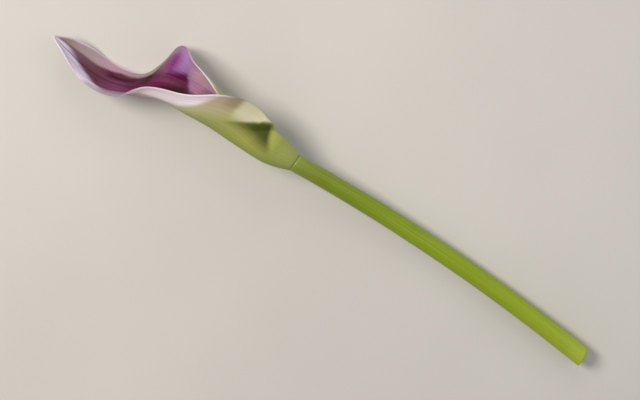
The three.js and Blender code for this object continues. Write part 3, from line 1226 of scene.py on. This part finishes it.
@dataclass
class Spadix:
    """The slim spike of tiny flowers in the tube.

    A tiny flower is a crown with a pit in it: its level is the height that stays on the outline, its
    breadth a power that broadens it, and its pit is a depth and the share of its height where it starts.
    Within the core's radius the relief fades out to the axis.
    """

    length: float = 33.0
    radius: float = 2.7
    foot_radius: float = 1.5
    swell: float = 0.3
    taper: float = 0.18
    cap: float = 0.1
    setback: float = 0.6
    lift: float = 0.3
    tilt: float = 1.5
    florets_round: int = 14
    floret_pitch: float = 1.3
    floret_relief: float = 0.34
    floret_fade: float = 2.5
    floret_level: float = 0.6
    floret_breadth: float = 0.6
    floret_pit: tuple[float, float] = (0.35, 0.86)
    core: float = 0.8
    rows: int = 200
    row_crowding: float = 1.25
    steps: int = 140

    def _outline(self) -> list[tuple[float, float]]:
        """The side view, with its rows closer together by the top.

        Returns:
            Radius and height from the foot to the rounded top.
        """
        outline = [(0.0, 0.0)]
        for i in range(self.rows):
            t = 1.0 - (1.0 - i / self.rows) ** self.row_crowding
            body = self.foot_radius + (self.radius - self.foot_radius) * rise(t, 0.0, self.swell)
            body *= 1.0 - self.taper * rise(t, self.swell, 1.0)
            outline.append((float(body * rounded((1.0 - t) / self.cap, 0.0)), t * self.length))
        outline.append((0.0, self.length))
        return outline

    def build(self, rest: Rest) -> bpy.types.Object:
        """Makes the spadix.

        Args:
            rest: How the flower lies.

        Returns:
            The piece.
        """
        made = turned(self._outline(), self.steps)
        relief = made.verts.layers.float.new(Attribute.RELIEF.value)
        grain = made.verts.layers.float_vector.new(Attribute.GRAIN.value)
        deep, begun = self.floret_pit
        for vert in made.verts:
            x, y, z = vert.co
            turn = math.atan2(y, x) * self.florets_round / 2
            climb = math.pi * z / self.floret_pitch / 2
            crown = abs(math.sin(turn + climb) * math.sin(turn - climb)) ** self.floret_breadth
            pit = deep * max(0.0, (crown - begun) / (1.0 - begun)) ** 2
            ends = rise(z, 0.0, self.floret_fade) * rise(self.length - z, 0.0, self.floret_fade)
            out = max(math.hypot(x, y), self.core)
            grow = 1.0 + self.floret_relief * (crown - pit - self.floret_level) * ends / out
            vert[relief] = crown - 2.0 * pit
            vert[grain] = Vector((x, y, z / self.length))
            vert.co = Vector((x * grow, y * grow, z))
        place = Matrix.Translation((0.0, self.setback, self.lift))
        place = place @ Matrix.Rotation(math.radians(-self.tilt), 4, "X")
        bmesh.ops.transform(made, matrix=place, verts=made.verts)
        piece = keep("spadix_spike", "spadix", made, rest)
        piece.data.materials.append(FloretSkin().material())
        return piece


@dataclass
class Stem:
    """The bowed fleshy stalk, cut off slantwise.

    Its top follows the foot of the spathe, whose radius is given by degrees round it. Some facets of the
    cut sink in as strands, from a radius in millimetres to a share of the flat cut's. The ribs start at
    a share of the top's radius, over so many millimetres, and fade out by the cut. Within the core's
    radius what relief there is fades out to the axis.
    """

    length: float = 130.0
    top_radius: float = 3.3
    top_flat: float = 0.9
    cut_radius: float = 3.7
    top_lean: tuple[float, float] = (6.0, 0.0)
    cut_lean: tuple[float, float] = (-4.0, -9.0)
    foot: Pairs = (
        (0.0, 3.22), (45.0, 3.38), (90.0, 3.66), (135.0, 4.0), (165.0, 4.12), (185.0, 4.15),
        (200.0, 3.9), (216.0, 2.9), (236.0, 2.4), (270.0, 2.67), (315.0, 3.07), (360.0, 3.22),
    )
    foot_blend: float = 9.0
    drop: float = 0.2
    settle: float = 8.0
    cut_slant: float = 0.16
    cut_bevel: float = 0.5
    bevel_steps: int = 4
    cut_hollow: float = 0.3
    cut_rings: int = 12
    ribs: int = 18
    rib_relief: float = 0.035
    rib_start: tuple[float, float] = (0.86, 0.4)
    rib_fade: float = 4.0
    core: float = 1.0
    strands: int = 70
    strand_zone: tuple[float, float] = (0.6, 0.88)
    strand_rim: float = 0.04
    strand_depth: float = 0.12
    view_heading: float = -40.0
    rows: int = 190
    steps: int = 96
    seed: int = 5

    def _outline(self) -> list[tuple[float, float]]:
        """The side view: the hollow cut, its bevel, the shaft and the flat top.

        Returns:
            Radius and height from the middle of the cut to the middle of the top.
        """
        flat = self.cut_radius - self.cut_bevel
        outline = []
        for i in range(self.cut_rings + 1):
            out = i / self.cut_rings
            outline.append((flat * out, self.cut_hollow * (1.0 - out**2)))
        for i in range(1, self.bevel_steps):
            turn = math.pi / 2 * i / self.bevel_steps
            corner = self.cut_bevel * math.sin(turn)
            outline.append((flat + corner, self.cut_bevel * (1.0 - math.cos(turn))))
        shaft = self.length - self.cut_bevel
        for i in range(self.rows + 1):
            t = i / self.rows
            radius = self.cut_radius + (self.top_radius - self.cut_radius) * t
            outline.append((radius, self.cut_bevel + t * shaft))
        outline.append((self.top_flat * self.top_radius, self.length))
        outline.append((0.0, self.length))
        return outline

    def _line(self) -> tuple[Vector, Vector, Vector, Vector]:
        """The stem's bow, as the picture shows it.

        Returns:
            The picture's right, and the three points of the bowed axis.
        """
        heading = math.radians(self.view_heading)
        right = Vector((math.cos(heading), math.sin(heading), 0.0))
        depth = Vector((-right.y, right.x, 0.0))
        ways = []
        for to_right, to_depth in (self.top_lean, self.cut_lean):
            way = Vector((0.0, 0.0, -1.0)) + right * math.tan(math.radians(to_right))
            ways.append((way + depth * math.tan(math.radians(to_depth))).normalized())
        top = Vector((0.0, 0.0, -self.drop))
        middle = top + ways[0] * (self.length / 2)
        return right, top, middle, middle + ways[1] * (self.length / 2)

    def build(self, rest: Rest) -> bpy.types.Object:
        """Makes the stem.

        Args:
            rest: How the flower lies.

        Returns:
            The piece.
        """
        made = turned(self._outline(), self.steps)
        flat = self.cut_radius - self.cut_bevel
        cut = [f for f in made.faces if max(v.co.z for v in f.verts) < self.cut_hollow + SLACK]
        cut = [f for f in cut if max(v.co.xy.length for v in f.verts) < flat + SLACK]
        near, far = self.strand_zone
        inner = [f for f in cut if near < f.calc_center_median().xy.length < far * flat]
        inner.sort(key=lambda f: tuple(f.calc_center_median()))  # merging leaves them in no set order
        rng = np.random.default_rng(self.seed)
        picked = [inner[i] for i in rng.choice(len(inner), self.strands, replace=False)]
        for face in cut:
            face.material_index = 1
        bmesh.ops.inset_individual(
            made, faces=picked, thickness=self.strand_rim, depth=-self.strand_depth
        )
        grain = made.verts.layers.float_vector.new(Attribute.GRAIN.value)
        right, top, middle, end = self._line()
        down = Vector((0.0, 0.0, -1.0))
        foot = Curve(self.foot)
        share, over = self.rib_start
        for vert in made.verts:
            x, y, height = vert.co
            out = math.hypot(x, y)
            turn = math.atan2(y, x)
            vert[grain] = Vector((x / self.cut_radius, y / self.cut_radius, height))
            rib = math.cos(turn * self.ribs) * smooth((out - share * self.top_radius) / over)
            rib *= float(rise(height, 0.0, self.rib_fade))
            grow = 1.0 + self.rib_relief * rib / max(out, self.core)
            near_top = float(smooth((height - self.length) / self.foot_blend + 1.0))
            meet = float(foot((math.degrees(turn) + self.view_heading - 90.0) % 360.0))
            grow *= 1.0 + near_top * (meet / self.top_radius - 1.0)
            x, y = x * grow, y * grow
            slant = self.cut_slant * x * max(0.0, 1.0 - height / self.settle)
            t = (self.length - height) / self.length
            way = (middle - top) * (2 * (1 - t)) + (end - middle) * (2 * t)
            bent = float(smooth((self.length - height) / self.settle))
            axis = down.lerp(way.normalized(), bent).normalized()
            across = (right - axis * right.dot(axis)).normalized()
            point = top * (1 - t) ** 2 + middle * (2 * t * (1 - t)) + end * t**2
            vert.co = point - axis * slant + across * x + across.cross(axis) * y
        piece = keep("stem_stalk", "stem", made, rest)
        piece.data.materials.append(StemSkin().material())
        piece.data.materials.append(CutFace().material())
        return piece


@dataclass(frozen=True)
class Lamp:
    """A soft square light, placed from the flower by the picture's directions."""

    name: str
    place: Point
    size: float
    power: float
    colour: str


@dataclass(frozen=True)
class Studio:
    """The pale table, the soft lights and the camera that looks down on the flower."""

    sight: Sight = Sight()
    picture_lean: float = 55.0
    lens: float = 100.0
    distance: float = 0.65
    middle: Point = (0.0, 0.0, 0.01)
    framing: tuple[float, float] = (-0.0036, -0.0076)
    table: float = 3.0
    room: str = "f2f4f7"
    ambient: float = 0.34
    lamps: tuple[Lamp, ...] = (
        Lamp("key", (-0.5, 0.16, 0.64), 0.36, 4.6, "fffaf2"),
        Lamp("fill", (0.6, 0.05, 0.6), 0.7, 1.0, "f4f7ff"),
        Lamp("rear", (0.1, 0.6, 0.6), 0.4, 0.8, "ffffff"),
    )

    def _table(self) -> None:
        """Lays the table under the flower."""
        made = bmesh.new()
        bmesh.ops.create_grid(made, x_segments=8, y_segments=8, size=self.table / 2)
        table = finished("table", made)
        table.data.materials.append(Tabletop().material())

    def _lights(self, rest: Rest) -> None:
        """Hangs the lights and sets the room's own light.

        Args:
            rest: How the flower lies.
        """
        axes = self.sight.axes(rest, self.picture_lean)
        for lamp in self.lamps:
            data = bpy.data.lights.new(lamp.name, "AREA")
            data.size = lamp.size
            data.energy = lamp.power
            data.color = linear(lamp.colour)[:3]
            light = added(lamp.name, data)
            light.location = axes @ Vector(lamp.place) + Vector(self.middle)
            aim = Vector(self.middle) - light.location
            light.rotation_euler = aim.to_track_quat("-Z", "Y").to_euler()
        world = bpy.data.worlds.new("room")
        world.use_nodes = True
        background = world.node_tree.nodes["Background"]
        background.inputs["Color"].default_value = linear(self.room)
        background.inputs["Strength"].default_value = self.ambient
        bpy.context.scene.world = world

    def _camera(self, rest: Rest) -> None:
        """Sets the camera in the photograph's direction, turned so that the flower fills the frame.

        Args:
            rest: How the flower lies.
        """
        axes = self.sight.axes(rest, self.picture_lean)
        data = bpy.data.cameras.new("camera")
        data.lens = self.lens
        camera = added("camera", data)
        aim = Vector(self.middle) + axes @ Vector((self.framing[0], self.framing[1], 0.0))
        camera.matrix_world = Matrix.Translation(aim + axes.col[2] * self.distance) @ axes.to_4x4()
        bpy.context.scene.camera = camera

    def build(self, rest: Rest) -> None:
        """Sets everything round the flower.

        Args:
            rest: How the flower lies.
        """
        self._table()
        self._lights(rest)
        self._camera(rest)
        bpy.context.scene.view_settings.view_transform = "Standard"


def main() -> None:
    """Builds the flower piece by piece, then the table, the light and the camera."""
    logging.basicConfig(level=logging.INFO, format="%(message)s")
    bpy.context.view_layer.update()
    rest = Rest()
    for maker in (Stem(), Spadix(), Spathe()):
        piece = maker.build(rest)
        log.info("%s: %d faces", piece.name, len(piece.data.polygons))
    Studio().build(rest)
    log.info("table, lights and camera set")


if __name__ == "__main__":
    main()
